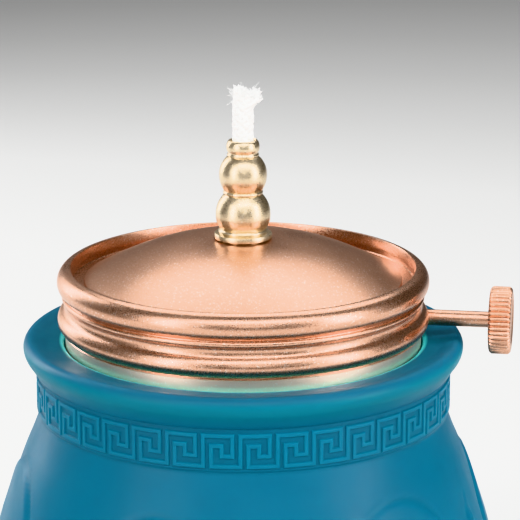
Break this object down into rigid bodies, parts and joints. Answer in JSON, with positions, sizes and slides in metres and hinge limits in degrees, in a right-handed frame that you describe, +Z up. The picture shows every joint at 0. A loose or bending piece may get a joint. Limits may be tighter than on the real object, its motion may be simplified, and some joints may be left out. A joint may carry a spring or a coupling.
{
  "type": "oil lamp",
  "caption": "Round frosted glass oil lamp with a flared lip, raised leaves, a lift-off metal lid, a turned wick holder and a side knob that feeds the wick.",
  "frame": {"origin": "middle of the jar's flat base, on the lamp's axis", "axes": "+Z up the lamp's axis; +X along the wick feed shaft towards its knob"},
  "size_m": [0.1134, 0.1118, 0.1446],
  "materials": {
    "teal_glass": "frosted pressed glass, blue-green",
    "rose_metal": "satin rose-gold plate",
    "pale_brass": "bright pale brass",
    "steel": "zinc-plated",
    "seal": "matt black",
    "cotton": "braided white cotton"
  },
  "bodies": {
    "jar": {"glass_jar": "teal_glass"},
    "lid": {"lid_collar": "rose_metal", "dome_plate": "rose_metal", "plate_screw_1": "steel", "plate_screw_2": "steel", "plate_screw_3": "steel", "plate_screw_4": "steel", "mouth_sealing_ring": "seal", "wick_holder": "pale_brass", "holder_washer": "steel", "holder_lock_nut": "pale_brass", "wick_tube": "pale_brass", "feed_bracket": "steel", "shaft_bush": "pale_brass"},
    "feed": {"feed_shaft": "rose_metal", "feed_wheel": "pale_brass", "feed_knob": "rose_metal", "shaft_clip": "steel"},
    "wick": {"wick": "cotton", "wick_tail": "cotton"}
  },
  "joints": [
    {"name": "lid_lift", "type": "slide", "parent": "jar", "child": "lid", "axis": [0, 0, 1], "range_m": [0, 0.09]},
    {"name": "knob_turn", "type": "hinge", "parent": "lid", "child": "feed", "pos_m": [0.0528, 0.00515, 0.0935], "axis": [1, 0, 0], "range_deg": [-120, 110]},
    {"name": "wick_feed", "type": "slide", "parent": "lid", "child": "wick", "axis": [0, 0, 1], "range_m": [-0.006, 0.0065]}
  ],
  "couplings": [
    {"joint": "wick_feed", "follows": "knob_turn", "m_per_rad": -0.003}
  ]
}
